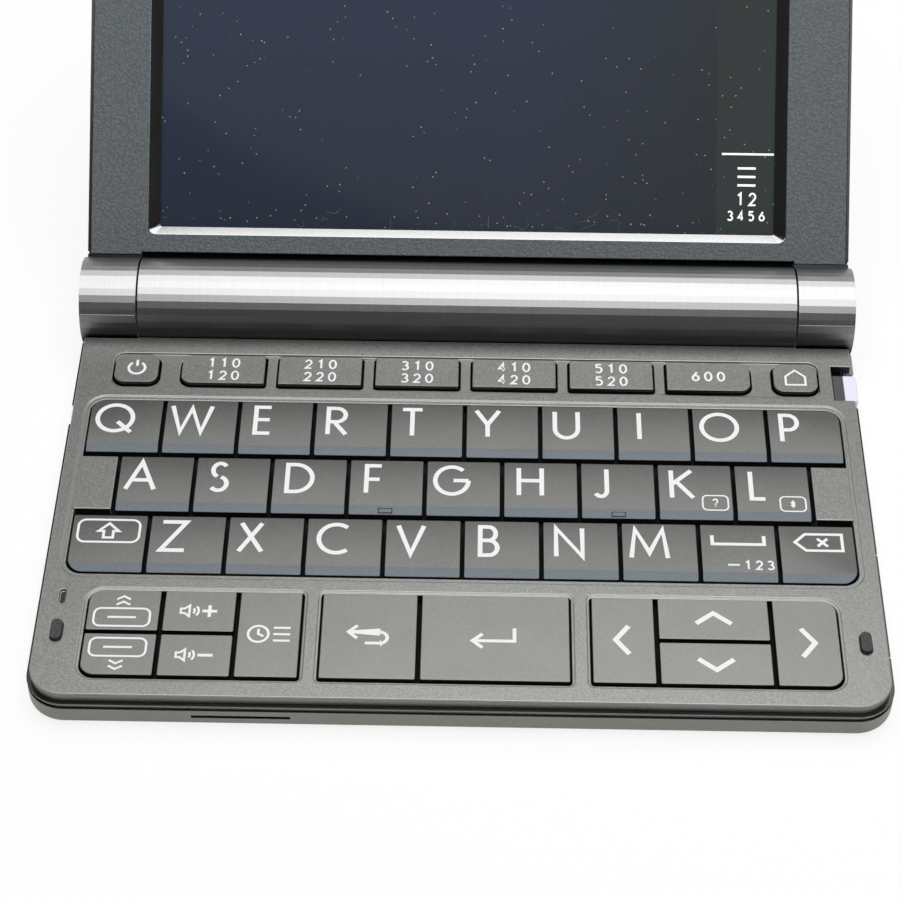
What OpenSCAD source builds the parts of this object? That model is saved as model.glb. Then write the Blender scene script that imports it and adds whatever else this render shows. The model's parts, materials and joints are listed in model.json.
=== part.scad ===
// Clamshell electronic dictionary: keyboard base, battery barrel hinge and display lid.
// X is to the right, Y to the rear, Z up. The origin is on the table, under the middle of the open object.

/* [Base] */
// Distance from the letter keys' opening to the deck's sides
side_margin = 3.25; // [2.5:0.05:5]
// Distance from the front key groups to the deck's front edge
front_margin = 3.65; // [2.5:0.05:8]
// Thickness of the deck plate
deck_t = 1.5; // [1.3:0.1:1.7]
// Radius of the deck's front corners
deck_corner_r = 6; // [3:0.5:10]
// How far the lower case sticks out past the deck on every side
ledge_w = 0.75; // [0.4:0.05:1.2]
// Height of the deck's side wall above the ledge
deck_wall_h = 2.05; // [1.8:0.05:2.3]
// Wall thickness of the lower case
case_t = 1.6; // [1.2:0.1:1.8]
// Thickness of the lower case's floor
floor_t = 1.2; // [1:0.1:1.4]
// Radius of the lower case's bottom edge
case_edge_r = 1.2; // [0.6:0.1:1.5]
// Height of the rubber feet under the case
foot_h = 0.6; // [0.4:0.1:1]

/* [Hinge] */
// Wall thickness of the battery barrel, from a flat to the compartment
barrel_wall = 1.05; // [0.8:0.05:1.4]
// Number of flats round the barrel
barrel_flats = 40; // [32:4:48]
// Length of the solid ends of the barrel's fixed middle
barrel_end_l = 8.9; // [7:0.1:11]
// Gap between the middle of the barrel and each end knuckle
knuckle_gap = 0.3; // [0.2:0.05:0.5]
// Radius of the steel hinge pins
pin_r = 2; // [1.5:0.1:2.5]
// How deep each hinge pin sits in the barrel
pin_depth = 5.4; // [4:0.1:6.5]
// Opening angle of the lid in the stored pose
lid_open = 137; // [100:1:150]

/* [Batteries] */
// Radius of one cell
cell_r = 7.1; // [6.8:0.05:7.4]
// Length of one cell with its contact nub
cell_l = 50.4; // [48:0.1:52]
// Gap between a cell and the compartment's wall
cell_gap = 0.35; // [0.2:0.05:0.6]
// Room for the contacts at the ends of the two cells
contact_room = 7.2; // [5:0.1:9]
// Angle of the battery cover's hooked front edge, from the rearward direction
cover_front_angle = -117; // [-120:1:-108]
// Angle of the battery cover's latched rear edge
cover_rear_angle = 27; // [18:1:30]
// Gap round the battery cover
cover_gap = 0.15; // [0.1:0.05:0.25]

/* [Lid] */
// How far the closed lid reaches past the front of the base
lid_overhang = 0.2; // [0:0.1:1]
// How far the lid stays inside the sides of the base
lid_inset = 0.3; // [0:0.1:1]
// Gap between the barrel and the lid's near edge
lid_start_gap = 1.2; // [0.9:0.1:2]
// Gap between the closed lid and the deck
lid_gap = 0.9; // [0.8:0.05:1.2]
// Radius of the lid's far corners
lid_corner_r = 7; // [4:0.5:9]
// Radius of the lid's rear edges
lid_edge_r = 2; // [1:0.1:2.4]
// Thickness of the display bezel
bezel_t = 1.8; // [1.5:0.1:2]
// Width of the rear shell's rim that shows round the bezel
rim_w = 0.5; // [0.3:0.1:0.8]
// Wall thickness of the lid's rear shell
lid_wall_t = 1.2; // [1:0.1:1.5]

/* [Display] */
// Border between the bezel window and the lid's near edge
near_border = 2.5; // [2:0.1:4]
// Border between the bezel window and the lid's far edge
far_border = 6.2; // [4:0.1:12]
// Border between the bezel window and the lid's sides
side_border = 11.9; // [8:0.1:16]
// Sideways offset of the window
window_x = -0.3; // [-1:0.1:1]
// Width of the sloping edge round the window
window_slope = 2.3; // [1:0.1:3]
// How far the display panel reaches under the bezel
panel_lap = 1.6; // [1:0.1:2]
// Thickness of the display panel with its cover glass
panel_t = 2.4; // [2:0.1:3]
// Thickness of the cover glass
glass_t = 0.9; // [0.6:0.1:1.2]

/* [Letter keys] */
// Sideways pitch of the letter keys
key_pitch_x = 14; // [13:0.1:16]
// Space between two letter keys of a row
key_spacing_x = 0.7; // [0.5:0.05:1.2]
// Row pitch of the letter keys
key_pitch_y = 14.35; // [13:0.05:16]
// Space between two rows of letter keys
key_spacing_y = 1.55; // [1:0.05:2]
// Length of the slope along a letter key's front
key_slope = 1.8; // [1:0.1:2.5]
// Drop of the slope along a letter key's front
key_drop = 0.55; // [0.3:0.05:0.8]

/* [All keys] */
// Travel of every key
key_travel = 0.8; // [0.5:0.05:1]
// Gap between a key and the opening that guides it
key_gap = 0.35; // [0.3:0.05:0.4]
// Thickness of a key's walls and top
key_wall = 0.9; // [0.7:0.1:1]
// Height of the letter keys and front keys above the deck
key_rise = 0.3; // [0.2:0.05:0.45]
// Height of the title keys above the deck
title_rise = 0.5; // [0.3:0.05:0.6]

/* [Title key row] */
// Distance from the barrel to the title row's recess
titles_gap = 4.3; // [3.8:0.1:6]
// Distance from the deck's sides to the title row's recess
titles_inset = 6.45; // [6:0.05:8]
// Depth of a title key
title_d = 7.35; // [6.5:0.05:9]
// Space between two title keys
title_spacing = 2.6; // [2:0.05:3.2]
// Width of the power key and of the home key
end_key_w = 8.3; // [7:0.1:9.5]
// Space between these end keys and the title keys
end_key_space = 4.4; // [3.5:0.1:5]
// Distance from the title row's recess to the letter keys' opening
titles_to_letters = 2.8; // [2:0.1:5]

/* [Front key groups] */
// Distance from the letter keys' opening to the front key groups
letters_to_front = 3.77; // [3:0.01:6]
// Depth of a full key of the front groups
front_key_d = 18.5; // [16:0.1:21]
// Space between two keys of one group
front_gap = 0.8; // [0.6:0.05:1]
// Distance from the deck's left side to the left group
left_inset = 8.25; // [8:0.05:10]
// Distance from the deck's right side to the right group
right_inset = 7.9; // [7.5:0.05:10]
// Space between the left group and the middle group
left_space = 2.95; // [2:0.05:4]
// Space between the middle group and the right group
right_space = 3.2; // [2:0.05:4]
// Width of the previous key and of the next key
previous_w = 12.4; // [10:0.1:14]
// Width of the volume keys
volume_w = 12.3; // [10:0.1:14]
// Width of the history key
history_w = 10.7; // [9:0.1:12]
// Width of the back key
back_w = 16.4; // [14:0.1:18]
// Width of the left arrow key
left_w = 10.7; // [9:0.1:12]
// Width of the up and down arrow keys
up_w = 19.1; // [16:0.1:21]
// Width of the right arrow key
right_w = 11; // [9:0.1:12]

/* [Stylus] */
// Width of the stylus head
stylus_w = 6.9; // [5:0.1:7.8]
// Thickness of the stylus shaft
stylus_t = 2.4; // [2:0.1:3]
// Length of the stylus shaft
stylus_l = 72; // [50:1:90]
// Length of the stylus head
stylus_head_l = 4.6; // [3:0.1:5]
// Distance from the hinge axis to the front side of the stylus
stylus_y = 22.4; // [21:0.1:24]

/* [Sockets] */
// Radius of the earphone jack's bore
jack_r = 1.75; // [1.25:0.05:1.75]
// Depth of the earphone jack's bore
jack_l = 14; // [10:0.5:15]
// Distance from the hinge axis to the earphone jack
jack_y = 27.3; // [26.5:0.1:31]
// Length of the memory card cover
card_cover_l = 23.1; // [20:0.1:26]
// Length of the speaker slit
speaker_slit_l = 16.8; // [10:0.2:20]

/* [Hidden] */
small = 0.01;
sharp = 0.05;
fit = 0.1;
shell_gap = 0.15;
swing_gap = 0.4;
key_corner_r = 0.3;
title_corner_r = 2;
recess_r = 2;
foot_inset = 0.6;
foot_r = 3;
foot_in_x = 12;
foot_in_y = 9;
barrel_foot_r = 2.4;
barrel_foot_h = 1.4;
bumper_w = 2;
bumper_l = 4.4;
bumper_in = 3.65;
bumper_inset = 0.4;
mic_w = 1.2;
mic_l = 3.1;
mic_in = 3.75;
ledge_h = 0.35;
groove_h = 0.9;
groove_in = 0.5;
tongue_t = 0.8;
tongue_h = 0.9;
recess_h = 0.4;
band_h = 0.25;
band_w = 0.9;
group_step_w = 0.5;
title_hole_rear = 0.45;
title_hole_front = 0.9;
letters_rear = 0.58;
opening_r = 3;
group_r = 2.8;
group_inner_r = 0.7;
slit_h = 0.6;
slit_z = 2.7;
port_w = 4.9;
guide_t = 0.8;
finger_gap = 2;
head_drop = 0.5;
head_corner_r = 0.8;
rear_cut = 5;
board_t = 0.8;
stylus_room = 0.4;
key_skirt = 1.6;
chip_t = 1.2;
processor_x = -13;
processor_w = 14;
processor_in = 15;
memory_x = 20;
memory_in = 20;
memory_w = 12;
memory_d = 8;
board_in = 2.6;
board_rear = 11;
speaker_t = 2;
speaker_in = 14;
jack_ring_in = 0.2;
speaker_r = 8;
speaker_x = -37.1;
jack_w = 6;
jack_ring_t = 0.3;
jack_wall = 0.35;
boss_r = 2;
boss_in = 11.25;
boss_rear = 9;
boss_front = 8;
guide_end_gap = 2;
joint_w = 0.3;
joint_depth = 0.4;
block_sink = 0.1;
plunger_r = 1.6;
home_bar_l = 2.4;
home_bar_w = 0.9;
home_bar_h = 0.15;
pin_fit = 0.05;
pin_seat_fit = 0.02;
pin_cover = 2;
rim_drop = 0.3;
ear_gap = 0.5;
ear_drop = 0.4;
card_cover_front = 12.25;

// Names of the letter rows
letters = ["q", "w", "e", "r", "t", "y", "u", "i", "o", "p"];
middle_letters = ["a", "s", "d", "f", "g", "h", "j", "k", "l"];
bottom_names = ["shift", "z", "x", "c", "v", "b", "n", "m", "space", "delete"];
letter_rows = [letters, middle_letters, bottom_names];

// Heights: table, floor, stylus, board, keys, deck
case_z = foot_h;
floor_z = case_z + floor_t;
board_top = floor_z + stylus_t + stylus_room + board_t;
key_foot = board_top + key_travel + fit;
deck_z = key_foot + key_skirt;
deck_under = deck_z - deck_t;
ledge_z = deck_z - deck_wall_h;
groove_z = ledge_z - ledge_h - groove_h;
bumper_h = lid_gap - fit;

// The barrel round its cells, and the hinge axis
compartment_r = cell_r + cell_gap;
barrel_r = compartment_r + barrel_wall;
axis_z = foot_h + barrel_r;
axis_rise = axis_z - deck_z;
flat_angle = 360 / barrel_flats;
compartment_l = 2 * cell_l + contact_room;
barrel_l = compartment_l + 2 * barrel_end_l;

// Widths, from the letter keys outwards
key_w = key_pitch_x - key_spacing_x;
key_d = key_pitch_y - key_spacing_y;
opening_w = 9 * key_pitch_x + key_w + 2 * key_gap;
deck_w = opening_w + 2 * side_margin;
base_w = deck_w + 2 * ledge_w;
knuckle_x = barrel_l / 2 + knuckle_gap;
knuckle_l = base_w / 2 - knuckle_x;
pin_l = knuckle_l - pin_cover + knuckle_gap + pin_depth;

// Distances from the hinge axis towards the front
titles_y = barrel_r + titles_gap;
title_hole_y = titles_y + title_hole_rear;
titles_d = title_hole_rear + title_d + 2 * key_gap + title_hole_front;
letters_y = titles_y + titles_d + titles_to_letters;
opening_d = letters_rear + 2 * key_pitch_y + key_d + key_gap;
front_y = letters_y + opening_d + letters_to_front;
front_d = front_key_d + 2 * key_gap;
deck_d = front_y + front_d + front_margin;
base_d = deck_d + ledge_w;
half_key_d = (front_key_d - front_gap) / 2;
bumper_y = front_y + front_d / 2 - 0.2;
mic_y = front_y + mic_l / 2 + fit;

// Title key row
title_half_w = deck_w / 2 - titles_inset;
title_pitch = (2 * (title_half_w - key_gap - end_key_w - end_key_space) + title_spacing) / 6;
title_w = title_pitch - title_spacing;

// Front key groups: left side of each and the widths of its columns. The enter key takes what is left
left_x = left_inset - deck_w / 2;
left_cols = [previous_w, volume_w, history_w];
right_cols = [left_w, up_w, right_w];
right_x = deck_w / 2 - right_inset - group_w(right_cols);
middle_x = left_x + group_w(left_cols) + left_space;
enter_w = right_x - right_space - middle_x - back_w - front_gap - 2 * key_gap;
middle_cols = [back_w, enter_w];

// The lid, and the heights of its layers seen in its own frame
lid_w = base_w - 2 * lid_inset;
lid_l = base_d + lid_overhang;
lid_start = barrel_r + lid_start_gap;
lid_t = bezel_t + panel_t + lid_wall_t;
face_z = axis_rise - lid_gap;
back_z = face_z - lid_t;
bezel_under = face_z - bezel_t;
window_w = lid_w - 2 * side_border;
window_l = lid_l - lid_start - near_border - far_border;
window_y = lid_start + near_border + window_l / 2;
axis_y = (base_d - lid_reach()) / 2;

// Stylus, card cover and earphone jack
stylus_head_x = base_w / 2 - stylus_head_l;
card_cover_y = deck_d - card_cover_front - card_cover_l;
jack_z = floor_z - 0.2 + jack_r;
jack_body_h = 2 * (jack_r + jack_wall);

// A key is [name, x of its left side, distance of its rear side from the axis, width, depth, rise, slope]
letter_keys = [for (row = [0:2]) for (i = [0:len(letter_rows[row]) - 1])
    [str("key_", letter_rows[row][i]), row_x(row) + i * key_pitch_x, row_y(row), key_w, key_d,
     key_rise, key_slope]];
title_keys = concat(
    [title_key("key_power", key_gap - title_half_w, end_key_w)],
    [for (i = [0:5]) title_key(str("key_title_", i + 1), (i - 2.5) * title_pitch - title_w / 2, title_w)],
    [title_key("key_home", title_half_w - key_gap - end_key_w, end_key_w)]);
front_keys = concat(
    split_keys(["key_previous", "key_next"], left_x, left_cols, 0),
    split_keys(["key_volume_up", "key_volume_down"], left_x, left_cols, 1),
    full_key("key_history", left_x, left_cols, 2),
    full_key("key_back", middle_x, middle_cols, 0),
    full_key("key_enter", middle_x, middle_cols, 1),
    full_key("key_left", right_x, right_cols, 0),
    split_keys(["key_up", "key_down"], right_x, right_cols, 1),
    full_key("key_right", right_x, right_cols, 2));
KEYS = concat(title_keys, letter_keys, front_keys);
KEY_NAMES = [for (k = KEYS) k[0]];

// How far behind the hinge axis the open lid's round far edge reaches
function lid_reach() = (lid_l - lid_edge_r) * cos(180 - lid_open)
    - (back_z + lid_edge_r) * sin(180 - lid_open) + lid_edge_r;
function row_x(row) = -((len(letter_rows[row]) - 1) * key_pitch_x + key_w) / 2;
function row_y(row) = letters_y + letters_rear + row * key_pitch_y;
function sum_to(list, n) = n <= 0 ? 0 : list[n - 1] + sum_to(list, n - 1);
function group_w(cols) = sum_to(cols, len(cols)) + (len(cols) - 1) * front_gap + 2 * key_gap;
function col_x(x, cols, i) = x + key_gap + sum_to(cols, i) + i * front_gap;
function title_key(name, x, w) = [name, x, title_hole_y + key_gap, w, title_d, title_rise, 0];
function full_key(name, x, cols, i) =
    [[name, col_x(x, cols, i), front_y + key_gap, cols[i], front_key_d, key_rise, 0]];
function split_keys(names, x, cols, i) = [for (j = [0:1])
    [names[j], col_x(x, cols, i), front_y + key_gap + j * (half_key_d + front_gap), cols[i],
     half_key_d, key_rise, 0]];

// Radii of a key's corners, clockwise from rear left. Those in an opening's corner are concentric with it
function corner_radii(name) =
    let (c = key_corner_r, t = title_corner_r, o = opening_r - key_gap, g = group_r - key_gap)
    name == "key_power" || name == "key_home" ? [t, t, t, t] :
    name == "key_title_1" ? [t, c, c, t] :
    name == "key_title_6" ? [c, t, t, c] :
    name == "key_q" ? [o, c, c, c] :
    name == "key_p" ? [c, o, c, c] :
    name == "key_shift" ? [c, c, c, o] :
    name == "key_delete" ? [c, c, o, c] :
    name == "key_previous" ? [g, c, c, c] :
    name == "key_next" ? [c, c, c, g] :
    name == "key_right" ? [c, g, g, c] :
    [c, c, c, c];

// ---- Flat outlines ----

// A rectangle from [0, 0] to [w, d] with its own radius at each corner, clockwise from rear left
module corner_rect(w, d, radii) {
    difference() {
        square([w, d]);
        for (i = [0:3])
            if (radii[i] > sharp)
                corner_trim(i == 0 || i == 3 ? 0 : w, i < 2 ? d : 0, radii[i]);
    }
}

// What a rectangle's corner at [x, y] loses when it is rounded. The rectangle has another corner at [0, 0]
module corner_trim(x, y, r) {
    inward_x = x > 0 ? -1 : 1;
    inward_y = y > 0 ? -1 : 1;
    translate([x, y])
        scale([inward_x, inward_y])
            difference() {
                translate([-1, -1]) square(r + 1);
                translate([r, r]) circle(r, $fn = 32);
            }
}

// A rectangle centred on X, from y = -d to y = 0, with rounded front and rear corners
module plate_2d(w, d, front_r, rear_r = 0) {
    translate([-w / 2, -d])
        corner_rect(w, d, [rear_r, rear_r, front_r, front_r]);
}

// ---- Placing ----

// From distances measured off the hinge axis to the part's own frame
module from_axis() {
    translate([0, axis_y, 0]) children();
}

// From the lid's own frame, with Y away from the hinge and Z out of the display, to the open lid
module in_lid() {
    translate([0, axis_y, axis_z])
        rotate([180 - lid_open, 0, 0])
            children();
}

// A cylinder along X, centred on the hinge axis
module axis_rod(r, l) {
    translate([0, 0, axis_z])
        rotate([0, 90, 0])
            cylinder(r = r, h = l, center = true, $fn = 96);
}

// A prism along X with flat sides, centred on the hinge axis. The turn shifts its flats
module flat_barrel(l, turn = 0) {
    tip_r = barrel_r / cos(flat_angle / 2);
    rotate([90, 0, 90])
        linear_extrude(l, center = true)
            polygon([for (i = [0:barrel_flats - 1])
                [tip_r * cos(i * flat_angle + turn), tip_r * sin(i * flat_angle + turn)]]);
}

// A wedge along X between two angles measured from the rearward direction
module sector(from, to, l) {
    reach = 3 * barrel_r;
    steps = 6;
    rotate([90, 0, 90])
        linear_extrude(l, center = true)
            polygon(concat([[0, 0]], [for (i = [0:steps])
                reach * [cos(from + (to - from) * i / steps), sin(from + (to - from) * i / steps)]]));
}

// ---- Base ----

module case_outline(out) {
    plate_2d(deck_w + 2 * out, deck_d - rear_cut + out, deck_corner_r + out);
}

// A slab from y = 0 to y = d with round corners at y = d, and a round lower edge at its sides and far end
module round_slab(w, d, h, corner_r, edge_r) {
    long = d - corner_r;
    translate([-w / 2, long, 0])
        rotate([90, 0, 0])
            linear_extrude(long) corner_rect(w, h, [0, 0, edge_r, edge_r]);
    translate([-w / 2 + corner_r, long, 0])
        rotate([90, 0, 90])
            linear_extrude(w - 2 * corner_r) corner_rect(corner_r, h, [0, 0, edge_r, 0]);
    for (s = [-1, 1])
        translate([s * (w / 2 - corner_r), long, 0])
            rotate([0, 0, 45 - s * 45])
                rotate_extrude(angle = 90, $fn = 96) corner_rect(corner_r, h, [0, 0, edge_r, 0]);
}

module barrel_seat(clearance) {
    axis_rod(barrel_r + clearance, 2 * base_w);
}

module knuckle_seats() {
    for (s = [-1, 1])
        translate([s * (barrel_l / 2 + base_w / 2), 0, axis_z])
            rotate([0, 90, 0])
                cylinder(r = barrel_r + swing_gap, h = base_w, center = true, $fn = 96);
}

// Hole in the left wall for the ring of the earphone jack
module jack_hole() {
    translate([-base_w / 2 - 1, -jack_y, jack_z])
        rotate([0, 90, 0])
            cylinder(r = jack_r + jack_ring_t + fit, h = case_t + 3, $fn = 48);
}

// Open corner round the stylus head, with room for a fingertip behind it
module stylus_notch(margin) {
    translate([base_w / 2 - stylus_head_l - fit - margin, -stylus_y - fit - margin, floor_z])
        cube([stylus_head_l + 2, stylus_w + finger_gap + 2 * margin, deck_z]);
}

// Body of the earphone jack behind the side wall, grown by a margin
module jack_block(margin) {
    translate([-base_w / 2 + 0.6 - margin, -jack_y - jack_w / 2 - margin, jack_z - jack_body_h / 2 - margin])
        cube([jack_l + 1 + 2 * margin, jack_w + 2 * margin, jack_body_h + 2 * margin]);
}

module lower_case() color("dimgray") from_axis() {
    difference() {
        translate([0, -rear_cut, 0]) {
            difference() {
                union() {
                    translate([0, 0, case_z])
                        mirror([0, 1, 0])
                            round_slab(base_w, deck_d - rear_cut + ledge_w, groove_z - case_z,
                                deck_corner_r + ledge_w, case_edge_r);
                    translate([0, 0, groove_z]) linear_extrude(groove_h) case_outline(ledge_w - groove_in);
                    translate([0, 0, groove_z + groove_h]) linear_extrude(ledge_h) case_outline(ledge_w);
                }
                translate([0, 0, floor_z])
                    linear_extrude(deck_z) case_outline(ledge_w - case_t);
                translate([-deck_w / 2, -3, floor_z]) cube([deck_w, 4, deck_z]);
            }
        }
        barrel_seat(shell_gap);
        knuckle_seats();
        jack_hole();
        // Slit of the speaker in the front wall
        translate([speaker_x - speaker_slit_l / 2, -base_d - 1, slit_z])
            cube([speaker_slit_l, case_t + 2, slit_h]);
        // Finger notch at the stylus head
        stylus_notch(0);
        jack_block(fit / 2);
        // Fine joint round the memory card cover in the right wall
        for (y = [card_cover_y, card_cover_y + card_cover_l])
            translate([base_w / 2 - joint_depth, -y - joint_w / 2, floor_z]) cube([1, joint_w, deck_z]);
        // Seats of the front feet
        front_foot_places()
            translate([0, 0, -small]) cylinder(r = foot_r + fit / 2, h = foot_inset + small, $fn = 48);
        // Ledge stops short at the earphone jack
        translate([-base_w / 2 - 1, -jack_y - port_w / 2, groove_z + groove_h - small])
            cube([1 + ledge_w, port_w, ledge_h + 1]);
    }
    // Bosses that carry the circuit board
    for (x = boss_xs(), y = boss_ys())
        translate([x, -y, floor_z - small])
            cylinder(r = boss_r, h = board_top - board_t - floor_z + small, $fn = 40);
    // Guide walls of the stylus
    for (y = [-stylus_y - fit - guide_t, -stylus_y + stylus_w + fit])
        translate([stylus_head_x - stylus_l, y, floor_z - small])
            cube([stylus_l - guide_end_gap, guide_t, stylus_t + small]);
}

function boss_xs() = [boss_in - deck_w / 2, 0, deck_w / 2 - boss_in];
function boss_ys() = let (first = letters_y + boss_rear, last = deck_d - boss_front)
    [first, (first + last) / 2, last];

module front_foot_places() {
    for (s = [-1, 1])
        translate([s * (deck_w / 2 - foot_in_x), foot_in_y - deck_d, case_z]) children();
}

module key_outline(k, gap) {
    r = corner_radii(k[0]);
    translate([k[1] - gap, -k[2] - k[4] - gap])
        corner_rect(k[3] + 2 * gap, k[4] + 2 * gap, [for (c = r) c + gap]);
}

module group_outline(x, cols, out) {
    translate([x - out, -front_y - front_d - out])
        corner_rect(group_w(cols) + 2 * out, front_d + 2 * out, group_radii(x, out));
}

function group_radii(x, out) = let (g = group_r + out, c = group_inner_r + out)
    x == left_x ? [g, c, c, g] : x == right_x ? [c, g, g, c] : [c, c, c, c];

module groups(out) {
    group_outline(left_x, left_cols, out);
    group_outline(middle_x, middle_cols, out);
    group_outline(right_x, right_cols, out);
}

module letters_outline(out) {
    w = opening_w + 2 * out;
    d = opening_d + 2 * out;
    translate([-w / 2, -letters_y - opening_d - out])
        corner_rect(w, d, [for (i = [0:3]) opening_r + out]);
}

module upper_case() color([0.36, 0.36, 0.35]) from_axis() {
    tongue_out = ledge_w - case_t - fit;
    block_w = opening_w / 2 + row_x(1) - key_spacing_x + block_sink;
    difference() {
        union() {
            translate([0, 0, deck_under]) linear_extrude(deck_t) plate_2d(deck_w, deck_d, deck_corner_r);
            // Side walls down to the ledge, and the tongue that plugs into the lower case
            difference() {
                union() {
                    translate([0, 0, ledge_z]) linear_extrude(deck_under - ledge_z + small)
                        plate_2d(deck_w, deck_d, deck_corner_r);
                    translate([0, 0, ledge_z - tongue_h]) linear_extrude(tongue_h + small)
                        plate_2d(deck_w + 2 * tongue_out, deck_d + tongue_out, deck_corner_r + tongue_out);
                }
                translate([0, 0, ledge_z - tongue_h - 1])
                    linear_extrude(deck_t + deck_wall_h)
                        plate_2d(deck_w + 2 * (tongue_out - tongue_t), deck_d + tongue_out - tongue_t,
                            deck_corner_r + tongue_out - tongue_t);
            }
        }
        barrel_seat(shell_gap);
        knuckle_seats();
        // The tongue ends where the lower case does
        translate([-base_w, -rear_cut - small, 0]) cube([2 * base_w, rear_cut + 1, deck_under]);
        // Letter keys: a shallow band round one wide opening
        translate([0, 0, deck_z - band_h]) linear_extrude(1) letters_outline(band_w);
        translate([0, 0, deck_under - 1]) linear_extrude(deck_t + 2) letters_outline(0);
        // Title keys: a shallow panel with a hole for each key
        translate([0, 0, deck_z - recess_h])
            linear_extrude(1)
                translate([-title_half_w, -titles_y - titles_d])
                    corner_rect(2 * title_half_w, titles_d, [for (i = [0:3]) recess_r]);
        for (k = title_keys)
            translate([0, 0, deck_under - 1]) linear_extrude(deck_t + 2) key_outline(k, key_gap);
        // Front groups: a fine step round each opening
        translate([0, 0, deck_z - band_h]) linear_extrude(1) groups(group_step_w);
        translate([0, 0, deck_under - 1]) linear_extrude(deck_t + 2) groups(0);
        // Microphone slot
        translate([mic_in - deck_w / 2, -mic_y, deck_z - 0.5]) pill(mic_w, mic_l, 1);
        stylus_notch(0);
        jack_hole();
        jack_block(fit / 2);
        bumper_places() translate([0, 0, -bumper_inset]) pill(bumper_w + fit, bumper_l + fit, 1);
    }
    // Fixed blanks beside the middle row of letter keys
    for (s = [-1, 1])
        translate([s * (opening_w / 2 + block_sink - block_w / 2), -row_y(1) - key_d / 2,
            deck_under + (deck_t + key_rise) / 2])
            cube([block_w, key_d, deck_t + key_rise], center = true);
}

// An upright pill, centred, with its length along Y
module pill(w, l, h) {
    linear_extrude(h) {
        square([w, l - w], center = true);
        for (s = [-1, 1])
            translate([0, s * (l - w) / 2]) circle(w / 2, $fn = 32);
    }
}

module bumper_places() {
    for (s = [-1, 1])
        translate([s * (deck_w / 2 - bumper_in), -bumper_y, deck_z]) children();
}

module rubber_feet() color([0.12, 0.12, 0.12]) from_axis() {
    front_foot_places()
        translate([0, 0, -foot_h]) cylinder(r = foot_r, h = foot_h + foot_inset - fit, $fn = 48);
    barrel_foot_places() cylinder(r = barrel_foot_r, h = barrel_foot_h, $fn = 40);
    bumper_places()
        translate([0, 0, -bumper_inset]) pill(bumper_w, bumper_l, bumper_inset + bumper_h);
}

// The rear feet sit in the solid ends of the barrel, right under the hinge axis
module barrel_foot_places() {
    for (s = [-1, 1])
        translate([s * (compartment_l + barrel_l) / 4, 0, 0]) children();
}

module circuit_board() color([0.1, 0.3, 0.2]) from_axis() {
    under = board_top - board_t;
    difference() {
        union() {
            difference() {
                translate([board_in - deck_w / 2, board_in - deck_d, under])
                    cube([deck_w - 2 * board_in, deck_d - board_in - board_rear, board_t]);
                stylus_notch(stylus_room);
            }
            // Earphone jack let into the board's left edge, and the ring that shows in the wall
            jack_block(0);
            translate([-base_w / 2 + jack_ring_in, -jack_y, jack_z])
                rotate([0, 90, 0]) cylinder(r = jack_r + jack_ring_t, h = 1, $fn = 48);
            // Processor and memory under the board
            board_chip(processor_x, front_y - processor_in, processor_w, processor_w);
            board_chip(memory_x, deck_d - memory_in, memory_w, memory_d);
            // Speaker behind its slit
            translate([speaker_x, speaker_in - deck_d, under - speaker_t])
                cylinder(r = speaker_r, h = speaker_t + small, $fn = 64);
        }
        translate([-base_w / 2 - 1, -jack_y, jack_z])
            rotate([0, 90, 0]) cylinder(r = jack_r, h = jack_l + jack_ring_in + 1, $fn = 48);
    }
}

// A chip under the board, centred at x and at a distance from the hinge axis
module board_chip(x, y, w, d) {
    translate([x - w / 2, -y - d / 2, board_top - board_t - chip_t])
        cube([w, d, chip_t + small]);
}

// ---- Barrel, batteries and pins ----

module hinge_barrel() color("silver") from_axis() {
    difference() {
        translate([0, 0, axis_z]) flat_barrel(barrel_l);
        axis_rod(compartment_r, compartment_l);
        axis_rod(pin_r + pin_seat_fit, barrel_l + 2);
        translate([0, 0, axis_z])
            sector(cover_front_angle - gap_angle(), cover_rear_angle + gap_angle(), compartment_l);
        barrel_foot_places() cylinder(r = barrel_foot_r + fit / 2, h = barrel_foot_h, $fn = 40);
    }
}

function gap_angle() = cover_gap / barrel_r * 180 / PI;

module battery_cover() color("silver") from_axis() {
    cover_l = compartment_l - 2 * cover_gap;
    difference() {
        intersection() {
            translate([0, 0, axis_z]) flat_barrel(cover_l);
            translate([0, 0, axis_z]) sector(cover_front_angle, cover_rear_angle, cover_l);
        }
        axis_rod(compartment_r, compartment_l + 2);
    }
}

module battery_cells() color([0.75, 0.72, 0.5]) from_axis() {
    nub_l = 1;
    nub_r = 2.7;
    plus_gap = 0.3;
    spring_room = contact_room - fit - plus_gap;
    for (i = [0, 1])
        translate([-compartment_l / 2 + spring_room + i * (cell_l + fit), 0, axis_z])
            rotate([0, 90, 0]) {
                cylinder(r = cell_r, h = cell_l - nub_l, $fn = 64);
                translate([0, 0, cell_l - nub_l - small]) cylinder(r = nub_r, h = nub_l + small, $fn = 40);
            }
}

module hinge_pins() color([0.7, 0.7, 0.72]) from_axis() {
    for (s = [-1, 1])
        translate([s * (knuckle_x + knuckle_l - pin_cover - pin_l / 2), 0, axis_z])
            rotate([0, 90, 0]) cylinder(r = pin_r, h = pin_l, center = true, $fn = 48);
}

// ---- Lid, in its own frame ----

// Outline of the lid from its near edge, with its sides drawn in
module lid_outline(in, near_in = 0) {
    w = lid_w - 2 * in;
    d = lid_l - lid_start - in - near_in;
    translate([-w / 2, lid_start + near_in])
        corner_rect(w, d, [lid_corner_r - in, lid_corner_r - in, 0, 0]);
}

// The solid lid shell with round rear edges at the sides and the far end
module lid_slab(top) {
    translate([0, lid_start, back_z])
        round_slab(lid_w, lid_l - lid_start, top - back_z, lid_corner_r, lid_edge_r);
}

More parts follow.
